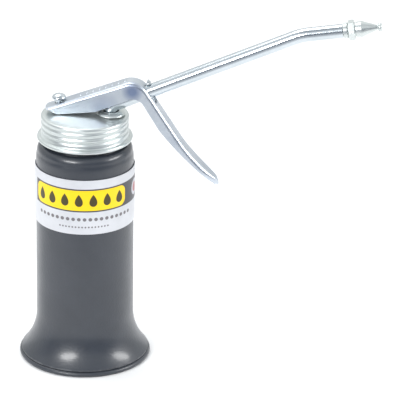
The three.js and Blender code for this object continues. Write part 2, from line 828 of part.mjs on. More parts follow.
function triggerLever() {
  const below = [gripTip[0] - 8, gripTip[1] - 20];
  const filled = webOutline(0, 0);
  filled.lineTo(...below);
  filled.lineTo(leverRear, gripTip[1] - 20);
  const channel = webOutline(leverSheet, 6);
  channel.lineTo(below[0] - 4, below[1] - 6);
  channel.lineTo(leverRear - 6, gripTip[1] - 26);
  const sides = solid(plate(skirtOutline(), leverWidth + 2));
  const blank = solid(plate(filled, leverWidth, foldRadius)).intersect(sides);
  const hollow = solid(plate(channel, leverWidth - 2 * leverSheet, foldRadius - leverSheet));

  // The rear end, rounded from above
  const plan = new THREE.Shape();
  const rearRounding = leverWidth / 2 + rearFullness;
  const rounding = Math.asin(leverWidth / 2 / rearRounding);
  plan.absarc(leverRear + rearRounding, 0, rearRounding, Math.PI - rounding, Math.PI + rounding);
  plan.lineTo(gripTip[0] + 5, -leverWidth);
  plan.lineTo(gripTip[0] + 5, leverWidth);
  const planCutter = new THREE.ExtrudeGeometry(plan, { ...slotCut, depth: 80 });
  planCutter.translate(0, 0, gripTip[1] - 10);

  const rodSlot = new THREE.Shape();
  const halfSlot = rodRadius + slotPlay;
  const rodX = pumpX - pivot[0];
  rodSlot.absarc(rodX + rodSlotRun, 0, halfSlot, -Math.PI / 2, Math.PI / 2);
  rodSlot.absarc(rodX, 0, halfSlot, Math.PI / 2, 3 * Math.PI / 2);
  const rodCutter = new THREE.ExtrudeGeometry(rodSlot, slotCut);
  rodCutter.translate(0, 0, rodX * Math.tan(rearTilt) - 4);

  // The spout passes through a slot in the nose, cut along the spout.
  const tubeSlot = new THREE.Shape();
  const halfTube = tubeRadius + slotPlay;
  tubeSlot.absarc(tubeSlotDrop, 0, halfTube, -Math.PI / 2, Math.PI / 2);
  tubeSlot.absarc(0, 0, halfTube, Math.PI / 2, 3 * Math.PI / 2);
  const tubeCutter = new THREE.ExtrudeGeometry(tubeSlot, { ...slotCut, depth: 8 });
  tubeCutter.translate(tubeRadius + pivotProud, 0, -3).rotateY(Math.PI / 2 - spoutAngle);
  const channelled = blank.intersect(solid(planCutter)).subtract(hollow);
  return surface(channelled.subtract(solid(rodCutter)).subtract(solid(tubeCutter)));
}

const lever = piece('trigger_lever', triggerLever(), finishes.zinc);
lever.position.set(pivot[0], 0, pivot[1]);

const head = new THREE.Group();
head.position.z = canHeight;
head.add(
  piece('screw_cap', screwCap(), finishes.zinc),
  piece('cap_gasket', capGasket(), finishes.rubber),
  piece('pump_head', pumpHead(), finishes.brass),
  piece('pickup_tube', pickupTube(), finishes.brass),
  piece('spout_tube', spoutTube(), finishes.zinc),
  pumpLine,
  spoutRoot,
  alongSpout,
  alongTip,
  lever,
);

const oilerCan = new THREE.Group();
oilerCan.add(reservoir, head);

export default oilerCan;
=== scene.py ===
import json
from math import acos, asin, atan2, cos, degrees, exp, hypot, pi, radians, sin, sqrt, tan

import bpy
from mathutils import Matrix, Vector


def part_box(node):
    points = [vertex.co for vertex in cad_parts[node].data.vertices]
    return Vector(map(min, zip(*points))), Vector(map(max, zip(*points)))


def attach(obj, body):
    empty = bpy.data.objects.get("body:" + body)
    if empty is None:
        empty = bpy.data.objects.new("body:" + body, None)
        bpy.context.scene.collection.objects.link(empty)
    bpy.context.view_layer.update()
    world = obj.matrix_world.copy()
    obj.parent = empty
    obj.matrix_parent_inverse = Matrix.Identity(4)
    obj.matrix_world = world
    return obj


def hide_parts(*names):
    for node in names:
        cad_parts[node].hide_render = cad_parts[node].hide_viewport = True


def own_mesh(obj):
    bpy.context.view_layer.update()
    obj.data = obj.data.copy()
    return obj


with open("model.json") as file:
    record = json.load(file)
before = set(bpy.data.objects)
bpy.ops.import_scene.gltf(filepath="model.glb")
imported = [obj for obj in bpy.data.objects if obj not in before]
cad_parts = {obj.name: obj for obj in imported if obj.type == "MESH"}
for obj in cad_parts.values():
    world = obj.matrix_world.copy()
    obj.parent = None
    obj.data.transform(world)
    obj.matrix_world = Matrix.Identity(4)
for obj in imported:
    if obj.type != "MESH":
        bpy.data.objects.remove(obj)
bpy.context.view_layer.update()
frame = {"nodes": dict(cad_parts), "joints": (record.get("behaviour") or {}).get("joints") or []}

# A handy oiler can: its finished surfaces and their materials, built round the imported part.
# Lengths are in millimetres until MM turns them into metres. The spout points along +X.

MM = 0.001

# Reservoir
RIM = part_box("can_body")[1][2] / MM
FOOT_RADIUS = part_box("can_body")[1][0] / MM
WALL = 0.7
BODY_RADIUS = FOOT_RADIUS - 7.0
FLARE_RADIUS = 28.0
FOOT_LOW = 2.7
FOOT_LIFT = 0.6
NECK_RADIUS = 18.65
NECK_HEIGHT = 11.0
SHOULDER_HEIGHT = 8.0
SHOULDER_FULLNESS = 0.75
GROOVE_DEPTH = 0.2
GROOVE_RISE = 3.9
GROOVE_WIDTH = 1.1
SEAM_RADIUS = 1.2
SEAM_INSET = 0.2
SEAM_LAND = 1.9
PAN_RECESS = 1.0
PAN_SHEET = 0.8
LABEL_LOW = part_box("product_label")[0][2] / MM
LABEL_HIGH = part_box("product_label")[1][2] / MM
LABEL_SHEET = 0.25
LABEL_GAP = 0.3
LABEL_WRAP = 300.0

# Thread that the neck and the cap share
PITCH = 2.8
THREAD_DEPTH = 0.5
THREAD_FADE = 1.2
ROWS_PER_PITCH = 10
NECK_THREAD = (RIM - NECK_HEIGHT + 0.8, RIM - 0.4)
CAP_THREAD = (RIM - 6.0, RIM + 1.7)

# Cap
CREST = 20.2
CAP_SHEET = 0.7
EDGE_ROUND = 1.1
ROOF_TOP = RIM + 3.5
ROOF_CROWN = 0.8
LIP_LOW = RIM - 9.2
LIP_BEAD = 0.95
LIP_RADIUS = CREST + 1.8

# Pump
PUMP_X = -11.9
ROD_RADIUS = 1.5
HEAD_RADIUS = 3.3
ROD_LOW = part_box("plunger_rod")[0][2] / MM
HEAD_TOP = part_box("plunger_rod")[1][2] / MM
HEAD_LOW = HEAD_TOP - 1.9
HEAD_CROWN = 0.5

# Spout
SPOUT_X = (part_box("spout_socket")[0][0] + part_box("spout_socket")[1][0]) / 2 / MM
TUBE_RADIUS = 3.175
TUBE_WALL = 1.0
TUBE_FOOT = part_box("spout_tube")[0][2] / MM
SPOUT_RISE = radians(24)
SPOUT_DATUM = RIM + 1.8
ROOT_BEND = 4.175
KNEE_X = 98.1
KNEE_BEND = 25.0
TIP_RISE = radians(9)
TIP_RUN = 18.6

# Trigger lever, an inverted channel that hooks over the spout
PIVOT = next(j for j in frame["joints"] if j["name"] == "trigger_squeeze")["pos_m"]
PIVOT_X = PIVOT[0] / MM
PIVOT_Z = PIVOT[2] / MM
LEVER_SHEET = 1.0
LEVER_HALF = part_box("trigger_lever")[1][1] / MM
FOLD_RADIUS = 1.8
REAR_SLOPE = radians(21)
FRONT_SLOPE = radians(57)
WEB_RISE = 4.82
NOSE_BEND = 9.0
REAR_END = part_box("trigger_lever")[0][0] / MM
REAR_FULLNESS = 1.3
GRIP_TIP = (34.2, -46.9)
TIP_TAPER = 13.0
TIP_NARROWING = 0.74
TIP_CURVE = 2.2


# ---- Modelling by hand ----

def deselect():
    if bpy.context.object and bpy.context.object.mode != "OBJECT":
        bpy.ops.object.mode_set(mode="OBJECT")
    bpy.ops.object.select_all(action="DESELECT")


def finish_edit(name):
    """Leaves edit mode and names what was modelled."""
    bpy.ops.object.mode_set(mode="OBJECT")
    piece = bpy.context.object
    piece.name = name
    piece.data.name = name
    bpy.ops.object.transform_apply(location=True, rotation=True, scale=True)
    return piece


def draw(points, closed=True):
    """Starts a mesh from one vertex and extrudes it from point to point, in millimetres."""
    deselect()
    first = Vector(points[0]) * MM
    bpy.ops.mesh.primitive_plane_add(size=MM, location=first)
    bpy.ops.object.mode_set(mode="EDIT")
    bpy.ops.mesh.merge(type="CENTER")
    for before, after in zip(points, points[1:]):
        step = (Vector(after) - Vector(before)) * MM
        bpy.ops.mesh.extrude_vertices_move(TRANSFORM_OT_translate={"value": step})
    if closed:
        step = (Vector(points[0]) - Vector(points[-1])) * MM
        bpy.ops.mesh.extrude_vertices_move(TRANSFORM_OT_translate={"value": step})
        bpy.ops.mesh.select_all(action="SELECT")
        bpy.ops.mesh.remove_doubles(threshold=1e-6)
    bpy.ops.mesh.select_all(action="SELECT")


def turned(name, outline, steps=96, x=0.0, closed=True, angle=2 * pi, start=0.0):
    """Half of a section, as (radius, height), spun round an upright axis at x."""
    points = [(x + r * cos(start), r * sin(start), z) for r, z in outline]
    draw(points, closed)
    bpy.ops.mesh.spin(steps=steps, angle=angle, center=(x * MM, 0, 0), axis=(0, 0, -1))
    bpy.ops.mesh.select_all(action="SELECT")
    bpy.ops.mesh.remove_doubles(threshold=1e-6)
    bpy.ops.mesh.fill_holes(sides=len(outline) + 1)
    bpy.ops.mesh.select_all(action="SELECT")
    bpy.ops.mesh.normals_make_consistent(inside=False)
    return finish_edit(name)


def plate(name, outline, thickness):
    """A flat outline extruded by a vector, both in millimetres."""
    draw(outline)
    bpy.ops.mesh.edge_face_add()
    bpy.ops.mesh.extrude_region_move(TRANSFORM_OT_translate={"value": Vector(thickness) * MM})
    bpy.ops.mesh.select_all(action="SELECT")
    bpy.ops.mesh.normals_make_consistent(inside=False)
    return finish_edit(name)


def pipe(name, route, radii, radius, wall, vertices=48, bend_steps=14):
    """A tube bent through corners in the XZ plane: rings extruded along, and spun round each bend."""
    corners = [Vector((x, 0, z)) for x, z in route]
    heading = (corners[1] - corners[0]).normalized()
    deselect()
    bpy.ops.mesh.primitive_circle_add(
        vertices=vertices,
        radius=radius * MM,
        location=corners[0] * MM,
        rotation=Vector((0, 0, 1)).rotation_difference(heading).to_euler(),
    )
    bpy.ops.object.transform_apply(location=True, rotation=True, scale=True)
    bpy.ops.object.mode_set(mode="EDIT")
    bpy.ops.mesh.select_all(action="SELECT")
    here = corners[0]
    for corner, after, bend in zip(corners[1:], corners[2:], radii):
        onward = (after - corner).normalized()
        turn = heading.angle(onward)
        run = corner - heading * bend * tan(turn / 2) - here
        bpy.ops.mesh.extrude_region_move(TRANSFORM_OT_translate={"value": run * MM})
        here = here + run
        axis = heading.cross(onward).normalized()
        centre = here + axis.cross(heading) * bend
        bpy.ops.mesh.spin(steps=bend_steps, angle=turn, center=centre * MM, axis=-axis)
        here = corner + onward * bend * tan(turn / 2)
        heading = onward
    bpy.ops.mesh.extrude_region_move(TRANSFORM_OT_translate={"value": (corners[-1] - here) * MM})
    bpy.ops.mesh.select_all(action="SELECT")
    bpy.ops.mesh.normals_make_consistent(inside=False)
    piece = finish_edit(name)
    modify(piece, "SOLIDIFY", thickness=wall * MM, offset=-1)
    return piece


def modify(piece, kind, **settings):
    """Adds a modifier and applies it."""
    deselect()
    piece.select_set(True)
    bpy.context.view_layer.objects.active = piece
    modifier = piece.modifiers.new(kind.lower(), kind)
    for key, value in settings.items():
        setattr(modifier, key, value)
    bpy.ops.object.modifier_apply(modifier=modifier.name)


def carve(piece, tool, operation="DIFFERENCE"):
    modify(piece, "BOOLEAN", object=tool, operation=operation, solver="EXACT")
    bpy.data.objects.remove(tool)


def ease(piece, width, segments=2, angle=35):
    """Takes the sharpness off a piece's edges."""
    modify(
        piece,
        "BEVEL",
        width=width * MM,
        segments=segments,
        limit_method="ANGLE",
        angle_limit=radians(angle),
        use_clamp_overlap=True,
    )


def smooth(piece, angle=35):
    deselect()
    piece.select_set(True)
    bpy.context.view_layer.objects.active = piece
    bpy.ops.object.shade_smooth_by_angle(angle=radians(angle))


def arc(centre, radius, start, end, steps):
    """Corners of an arc or, with two radii, of an ellipse. Angles are in degrees."""
    across, up = radius if isinstance(radius, tuple) else (radius, radius)
    turns = [radians(start + (end - start) * i / steps) for i in range(steps + 1)]
    return [(centre[0] + across * cos(t), centre[1] + up * sin(t)) for t in turns]


def bow(start, control, end, steps):
    """Corners of a quadratic curve, without its first point."""
    shares = [i / steps for i in range(1, steps + 1)]
    return [
        tuple((1 - t) ** 2 * a + 2 * t * (1 - t) * b + t * t * c for a, b, c in zip(start, control, end))
        for t in shares
    ]


def rows(low, high):
    count = round((high - low) * ROWS_PER_PITCH / PITCH)
    return [low + (high - low) * i / count for i in range(count + 1)]


def roll_thread(piece, low, high, pressed_in):
    """Rolls the shared right-handed helix into the plain wall between two heights."""
    for vertex in piece.data.vertices:
        x, y, z = vertex.co / MM
        fade = min(1, max(0, min(z - low, high - z) / THREAD_FADE))
        wave = 0.5 + 0.5 * cos(2 * pi * (z - RIM) / PITCH - atan2(y, x))
        shift = THREAD_DEPTH * fade * (wave - 1 if pressed_in else wave)
        radius = hypot(x, y)
        if radius > 0 and shift:
            vertex.co.x *= 1 + shift / radius
            vertex.co.y *= 1 + shift / radius


def stadium(centre, half, run, steps=10):
    """A slot's outline from above: two half circles, run apart."""
    x, y = centre
    return arc((x + run, y), half, -90, 90, steps) + arc((x, y), half, 90, 270, steps)


def done(piece, body, nodes, material, angle=35):
    """Finishes a piece: smooth shading and normals, its material, the imported parts it replaces hidden, and
    its body.
    """
    smooth(piece, angle)
    modify(piece, "WEIGHTED_NORMAL", keep_sharp=True)
    piece.data.materials.clear()
    piece.data.materials.append(material)
    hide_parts(*nodes)
    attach(piece, body)


# ---- Materials ----

def add(tree, kind, inputs=None, **settings):
    """A node with its settings and its sockets set. A socket is given a value or another socket."""
    node = tree.nodes.new(kind)
    for key, value in settings.items():
        setattr(node, key, value)
    for key, value in (inputs or {}).items():
        if isinstance(value, bpy.types.NodeSocket):
            tree.links.new(value, node.inputs[key])
        else:
            node.inputs[key].default_value = value
    return node


def calc(tree, operation, a, b=0.0, c=0.0, clamp=False):
    node = add(tree, "ShaderNodeMath", {0: a, 1: b, 2: c}, operation=operation, use_clamp=clamp)
    return node.outputs[0]


def between(tree, value, low, high, to_low=0.0, to_high=1.0):
    inputs = {"Value": value, "From Min": low, "From Max": high, "To Min": to_low, "To Max": to_high}
    return add(tree, "ShaderNodeMapRange", inputs).outputs[0]


def blend(tree, share, a, b):
    """A mix of two colours."""
    node = add(tree, "ShaderNodeMix", data_type="RGBA")
    for socket, value in ((node.inputs[0], share), (node.inputs[6], a), (node.inputs[7], b)):
        if isinstance(value, bpy.types.NodeSocket):
            tree.links.new(value, socket)
        else:
            socket.default_value = (*value, 1.0) if isinstance(value, tuple) else value
    return node.outputs[2]


def group(name, inputs, output):
    """A node group with a vector and number inputs and one number output."""
    tree = bpy.data.node_groups.new(name, "ShaderNodeTree")
    tree.interface.new_socket("Vector", in_out="INPUT", socket_type="NodeSocketVector")
    for title, value in inputs.items():
        socket = tree.interface.new_socket(title, in_out="INPUT", socket_type="NodeSocketFloat")
        socket.default_value = value
    tree.interface.new_socket(output, in_out="OUTPUT", socket_type="NodeSocketFloat")
    entry = tree.nodes.new("NodeGroupInput")
    leave = tree.nodes.new("NodeGroupOutput")
    return tree, entry.outputs, leave.inputs[output]


def cloudiness():
    """Soft patches of tone, as in plating or a coat of paint."""
    tree, given, result = group("Cloudiness", {"Scale": 60.0}, "Mask")
    broad = add(
        tree, "ShaderNodeTexNoise", {"Vector": given["Vector"], "Scale": given["Scale"], "Detail": 3.0}
    )
    finer = calc(tree, "MULTIPLY", given["Scale"], 4.3)
    small = add(tree, "ShaderNodeTexNoise", {"Vector": given["Vector"], "Scale": finer, "Detail": 2.0})
    both = calc(tree, "MULTIPLY_ADD", small.outputs[0], 0.35, broad.outputs[0])
    tree.links.new(between(tree, both, 0.42, 0.92), result)
    return tree


def scratches():
    """Thin marks in two directions, from handling and drawing."""
    tree, given, result = group("Scratches", {"Scale": 220.0, "Sharpness": 9.0}, "Mask")
    marks = []
    for turn in ((0.3, 0.2, 0.7), (1.1, -0.5, -0.4)):
        aimed = add(tree, "ShaderNodeMapping", {"Vector": given["Vector"], "Rotation": turn})
        aimed.inputs["Scale"].default_value = (1.0, 0.04, 1.0)
        noise = add(
            tree,
            "ShaderNodeTexNoise",
            {"Vector": aimed.outputs[0], "Scale": given["Scale"], "Detail": 2.0},
        )
        middle = calc(tree, "SUBTRACT", noise.outputs[0], 0.5)
        line = calc(tree, "MULTIPLY", calc(tree, "ABSOLUTE", middle), given["Sharpness"])
        marks.append(calc(tree, "SUBTRACT", 1.0, line, clamp=True))
    tree.links.new(calc(tree, "MAXIMUM", *marks), result)
    return tree


def orange_peel():
    """The fine uneven skin of sprayed paint."""
    tree, given, result = group("Orange peel", {"Scale": 900.0}, "Height")
    peel = add(
        tree, "ShaderNodeTexNoise", {"Vector": given["Vector"], "Scale": given["Scale"], "Detail": 1.0}
    )
    tree.links.new(peel.outputs[0], result)
    return tree


def lighter_edges():
    """A mask on a piece's convex edges, broken up by noise, where the paint is made lighter."""
    tree, given, result = group("Lighter edges", {"Width": 0.06, "Patches": 300.0}, "Mask")
    pointed = add(tree, "ShaderNodeNewGeometry").outputs["Pointiness"]
    edge = calc(tree, "DIVIDE", calc(tree, "SUBTRACT", pointed, 0.53), given["Width"], clamp=True)
    patches = add(
        tree, "ShaderNodeTexNoise", {"Vector": given["Vector"], "Scale": given["Patches"], "Detail": 3.0}
    )
    broken = between(tree, patches.outputs[0], 0.45, 0.6)
    tree.links.new(calc(tree, "MULTIPLY", edge, broken), result)
    return tree


CLOUDS = cloudiness()
SCRATCHES = scratches()
PEEL = orange_peel()
EDGES = lighter_edges()


def place(tree, shared, vector, **values):
    node = add(tree, "ShaderNodeGroup", node_tree=shared)
    tree.links.new(vector, node.inputs["Vector"])
    for key, value in values.items():
        node.inputs[key].default_value = value
    return node.outputs[0]


def material(name):
    made = bpy.data.materials.new(name)
    made.use_nodes = True
    tree = made.node_tree
    where = add(tree, "ShaderNodeTexCoord").outputs["Object"]
    return made, tree, tree.nodes["Principled BSDF"], where


def bump(tree, surface, height, strength, distance):
    inputs = {"Strength": strength, "Distance": distance * MM, "Height": height}
    tree.links.new(add(tree, "ShaderNodeBump", inputs).outputs[0], surface.inputs["Normal"])


def charcoal_paint():
    made, tree, surface, where = material("Charcoal paint")
    patches = place(tree, CLOUDS, where, Scale=45.0)
    tone = blend(tree, patches, (0.023, 0.028, 0.038), (0.032, 0.038, 0.050))
    # The paint is lighter on its convex edges, broken up by noise.
    edge_lightening = calc(tree, "MULTIPLY", place(tree, EDGES, where), 0.35)
    tree.links.new(blend(tree, edge_lightening, tone, (0.21, 0.22, 0.23)), surface.inputs["Base Color"])
    smears = place(tree, CLOUDS, where, Scale=120.0)
    tree.links.new(between(tree, smears, 0.0, 1.0, 0.34, 0.44), surface.inputs["Roughness"])
    surface.inputs["Coat Weight"].default_value = 0.5
    surface.inputs["Coat Roughness"].default_value = 0.18
    bump(tree, surface, place(tree, PEEL, where, Scale=950.0), 0.8, 0.08)
    return made


def plated(name, dark, light, tint, roughness, ripple=0.01, metal=1.0, painted_reflections=()):
    """A bright metal finish: tone and tint vary over it, and it has fine marks.

    A painted reflection is (x, y, z, near, far, strength): the plate turns bluer and darker round a point,
    in millimetres, as a painted dark reflection of the surroundings.
    """
    made, tree, surface, where = material(name)
    tone = blend(tree, place(tree, CLOUDS, where, Scale=70.0), dark, light)
    shade = calc(tree, "MULTIPLY", place(tree, CLOUDS, where, Scale=28.0), 0.3)
    # Painted reflection: each point draws the colour towards the dark tint round it, standing for the
    # surroundings reflected in the metal.
    for x, y, z, near, far, strength in painted_reflections:
        centre = (x * MM, y * MM, z * MM)
        off = add(tree, "ShaderNodeVectorMath", {0: where, 1: centre}, operation="DISTANCE").outputs[1]
        reach = between(tree, off, far * MM, near * MM, 0.0, strength)
        shade = calc(tree, "MAXIMUM", shade, reach)
    tree.links.new(blend(tree, shade, tone, tint), surface.inputs["Base Color"])
    surface.inputs["Metallic"].default_value = metal
    smears = place(tree, CLOUDS, where, Scale=150.0)
    spread = between(tree, smears, 0.0, 1.0, roughness * 0.9, roughness * 1.15)
    tree.links.new(spread, surface.inputs["Roughness"])
    marks = {"Strength": 0.004, "Distance": 0.03 * MM, "Height": place(tree, SCRATCHES, where)}
    fine = add(tree, "ShaderNodeBump", marks).outputs[0]
    waves = {"Strength": ripple, "Distance": MM, "Normal": fine}
    waves["Height"] = place(tree, CLOUDS, where, Scale=32.0)
    tree.links.new(add(tree, "ShaderNodeBump", waves).outputs[0], surface.inputs["Normal"])
    return made


def oiled_leather():
    made, tree, surface, where = material("Oiled leather")
    cells = add(tree, "ShaderNodeTexVoronoi", {"Vector": where, "Scale": 2200.0})
    tone = blend(tree, place(tree, CLOUDS, where, Scale=300.0), (0.10, 0.05, 0.025), (0.22, 0.12, 0.06))
    tree.links.new(tone, surface.inputs["Base Color"])
    surface.inputs["Roughness"].default_value = 0.45
    bump(tree, surface, cells.outputs[0], 0.4, 0.08)
    return made


def black_rubber():
    made, tree, surface, where = material("Black rubber")
    tone = blend(tree, place(tree, CLOUDS, where, Scale=200.0), (0.018, 0.018, 0.018), (0.04, 0.04, 0.042))
    tree.links.new(tone, surface.inputs["Base Color"])
    surface.inputs["Roughness"].default_value = 0.6
    bump(tree, surface, place(tree, PEEL, where, Scale=1800.0), 0.3, 0.04)
    return made


def printed_label():
    """Silver-grey film with a dark panel, a yellow field of oil drops, and two rows of dots."""
    made, tree, surface, where = material("Printed label")
    split = add(tree, "ShaderNodeSeparateXYZ", {0: where}).outputs
    turn = calc(tree, "ARCTAN2", split[0], calc(tree, "MULTIPLY", split[1], -1.0))
    along = calc(tree, "MULTIPLY", turn, BODY_RADIUS + LABEL_SHEET)
    up = calc(tree, "MULTIPLY", split[2], 1 / MM)
    soft = 0.09

    def inside(distance):
        return between(tree, distance, soft, -soft)

    def box_distance(x, half_x, z, half_z, rounding):
        sides = []
        for value, middle, half in ((along, x, half_x), (up, z, half_z)):
            off = calc(tree, "ABSOLUTE", calc(tree, "SUBTRACT", value, middle))
            sides.append(calc(tree, "MAXIMUM", calc(tree, "SUBTRACT", off, half - rounding), 0.0))
        squares = calc(tree, "MULTIPLY_ADD", sides[0], sides[0], calc(tree, "MULTIPLY", sides[1], sides[1]))
        return calc(tree, "SUBTRACT", calc(tree, "SQRT", squares), rounding)

    def repeated(pitch, first, last):
        """Place within each repeat, and a mask of the stretch that has them."""
        place_in = calc(tree, "WRAP", along, pitch / 2, -pitch / 2)
        stretch = box_distance((first + last) / 2, (last - first) / 2, up_middle, 100.0, 0.5)
        return place_in, inside(stretch)

    up_middle = (LABEL_LOW + LABEL_HIGH) / 2
    panel_z = LABEL_LOW + 16.7
    panel_x, panel_half, panel_tall, panel_round = 9.5, 35.0, 5.65, 0.4
    panel = inside(box_distance(panel_x, panel_half, panel_z, panel_tall, panel_round))
    field_x, field_half, field_tall, field_round = -0.3, 23.9, 4.95, 3.2
    field = inside(box_distance(field_x, field_half, panel_z, field_tall, field_round))

    # A drop's half width is sqrt(t) (1 - t) along its height, which is 0.385 at its widest.
    drop_pitch, drop_half, drop_tall, drops_end = 6.6, 1.95, 6.2, 23.1
    widest, hairline = 0.385, 0.12
    across, drops_here = repeated(drop_pitch, -drops_end, drops_end)
    drop_foot = panel_z - drop_tall / 2 + 0.1
    share = calc(tree, "DIVIDE", calc(tree, "SUBTRACT", up, drop_foot), drop_tall)
    share = calc(tree, "MINIMUM", calc(tree, "MAXIMUM", share, 0.0), 1.0)
    belly = calc(tree, "MULTIPLY", calc(tree, "SQRT", share), calc(tree, "SUBTRACT", 1.0, share))
    width = calc(tree, "SUBTRACT", calc(tree, "MULTIPLY", belly, drop_half / widest), hairline)
    drop = inside(calc(tree, "SUBTRACT", calc(tree, "ABSOLUTE", across), width))
    drop = calc(tree, "MULTIPLY", drop, drops_here)

    def dots(height, radius, pitch, first, last):
        near, here = repeated(pitch, first, last)
        off = calc(tree, "SUBTRACT", up, height)
        squares = calc(tree, "MULTIPLY_ADD", near, near, calc(tree, "MULTIPLY", off, off))
        beyond = calc(tree, "SUBTRACT", calc(tree, "SQRT", squares), radius)
        return calc(tree, "MULTIPLY", inside(beyond), here)

    rule = calc(
        tree,
        "MAXIMUM",
        dots(LABEL_LOW + 7.4, 0.85, 2.6, -22.1, 27.3),
        dots(LABEL_LOW + 3.6, 0.42, 1.5, -9.75, 14.25),
    )
    badge_x, badge_radius, heart_radius = 33.5, 3.9, 2.4
    disc = inside(box_distance(badge_x, badge_radius, panel_z, badge_radius, badge_radius))
    heart = inside(box_distance(badge_x, heart_radius, panel_z, heart_radius, heart_radius))

    film = blend(tree, place(tree, CLOUDS, where, Scale=90.0), (0.58, 0.59, 0.62), (0.66, 0.67, 0.70))
    colour = blend(tree, panel, film, (0.055, 0.055, 0.062))
    colour = blend(tree, field, colour, (0.98, 0.67, 0.0))
    colour = blend(tree, drop, colour, (0.055, 0.042, 0.006))
    colour = blend(tree, disc, colour, (0.55, 0.55, 0.6))
    colour = blend(tree, heart, colour, (0.42, 0.12, 0.13))
    colour = blend(tree, calc(tree, "MULTIPLY", rule, 0.85), colour, (0.09, 0.075, 0.08))
    tree.links.new(colour, surface.inputs["Base Color"])
    smears = place(tree, CLOUDS, where, Scale=160.0)
    tree.links.new(between(tree, smears, 0.0, 1.0, 0.28, 0.4), surface.inputs["Roughness"])
    ink = calc(tree, "MAXIMUM", panel, rule)
    bump(tree, surface, ink, 0.15, 0.02)
    return made


PAINT = charcoal_paint()
LABEL = printed_label()
ZINC = plated("Bright zinc", (0.56, 0.61, 0.64), (0.68, 0.72, 0.75), (0.52, 0.60, 0.66), 0.2)
SATIN_ZINC = plated(
    "Satin zinc", (0.60, 0.64, 0.63), (0.70, 0.74, 0.73), (0.54, 0.60, 0.60), 0.33, 0.01, metal=0.86
)
LEVER_ZINC = plated(
    "Lever zinc",
    (0.64, 0.69, 0.73),
    (0.77, 0.81, 0.84),
    (0.13, 0.19, 0.36),
    0.34,
    # Painted dark blue reflections on the lever's near side, by the pivot and lower on the rear, not marks
    # on the plate.
    painted_reflections=[
        (PIVOT_X - 5.4, -LEVER_HALF, PIVOT_Z - 1.9, 1.5, 6.0, 0.8),
        (8, -LEVER_HALF, 125, 1, 12, 0.5),
    ],
)
BRASS = plated("Turned brass", (0.50, 0.36, 0.17), (0.68, 0.53, 0.28), (0.52, 0.37, 0.20), 0.3)
STEEL = plated("Bright steel", (0.45, 0.46, 0.48), (0.62, 0.63, 0.65), (0.50, 0.50, 0.55), 0.25)
LEATHER = oiled_leather()
RUBBER = black_rubber()


# ---- The reservoir ----

def can_shell():
    foot_start = 180 + degrees(acos((BODY_RADIUS + FLARE_RADIUS - FOOT_RADIUS) / FLARE_RADIUS))
    foot_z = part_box("can_body")[0][2] / MM + FOOT_LIFT
    flare_z = foot_z + FLARE_RADIUS * sin(radians(foot_start - 180))
    flare_x = BODY_RADIUS + FLARE_RADIUS
    shoulder = RIM - NECK_HEIGHT - SHOULDER_HEIGHT
    across = BODY_RADIUS - NECK_RADIUS
    bore = NECK_RADIUS - WALL
    neck = rows(RIM - NECK_HEIGHT, RIM)
    outline = [(FOOT_RADIUS, FOOT_LOW)]
    outline += arc((flare_x, flare_z), FLARE_RADIUS, foot_start, 180, 24)
    for turn_x, turn_z in arc((0, 0), 1, 0, 90, 40):
        radius = NECK_RADIUS + across * max(0, turn_x) ** SHOULDER_FULLNESS
        z = shoulder + SHOULDER_HEIGHT * turn_z ** SHOULDER_FULLNESS
        pressed = GROOVE_DEPTH * exp(-((z - shoulder - GROOVE_RISE) / GROOVE_WIDTH) ** 2)
        outline.append((radius - pressed, z))
    outline += [(NECK_RADIUS, z) for z in neck[1:]]
    outline += [(bore, z) for z in reversed(neck[1:])]
    outline += arc((bore, shoulder), (across, SHOULDER_HEIGHT), 90, 0, 12)
    outline += arc((flare_x, flare_z), FLARE_RADIUS + WALL, 180, foot_start, 16)
    outline += [(FOOT_RADIUS - WALL, FOOT_LOW)]
    piece = turned("can_shell", outline, steps=128)
    roll_thread(piece, *NECK_THREAD, pressed_in=False)
    done(piece, "can", ["can_body"], PAINT)


def rolled_base():
    centre = FOOT_RADIUS - SEAM_INSET
    inner = centre - SEAM_LAND
    ring_in, ring_out, ring_rise, ring_slope = inner - 9.4, inner - 6.9, 0.3, 0.5
    outline = [(0, PAN_RECESS), (ring_in, PAN_RECESS), (ring_in + ring_slope, PAN_RECESS + ring_rise)]
    outline += [(ring_out - ring_slope, PAN_RECESS + ring_rise), (ring_out, PAN_RECESS)]
    outline += [(inner - 1.2, PAN_RECESS), (inner - 0.5, PAN_RECESS * 0.4), (inner, 0)]
    outline += arc((centre, SEAM_RADIUS), SEAM_RADIUS, -90, 90, 14)
    outline += [(inner, 2 * SEAM_RADIUS), (inner - 0.8, PAN_RECESS + PAN_SHEET), (0, PAN_RECESS + PAN_SHEET)]
    piece = turned("rolled_base", outline, steps=128, closed=False)
    done(piece, "can", ["base_pan"], PAINT)


def label_film():
    low = BODY_RADIUS + LABEL_GAP
    high = low + LABEL_SHEET
    round_off = 0.08
    outline = [
        (low, LABEL_LOW),
        (high - round_off, LABEL_LOW),
        (high, LABEL_LOW + round_off),
        (high, LABEL_HIGH - round_off),
        (high - round_off, LABEL_HIGH),
        (low, LABEL_HIGH),
    ]
    start = radians(90 + (360 - LABEL_WRAP) / 2)
    piece = turned("label_film", outline, steps=120, angle=radians(LABEL_WRAP), start=start)
    done(piece, "can", ["product_label"], LABEL)


# ---- The cap, the pump rod and the spout ----

def roof_height(radius, top):
    return top - ROOF_CROWN * (radius / (CREST - EDGE_ROUND)) ** 2


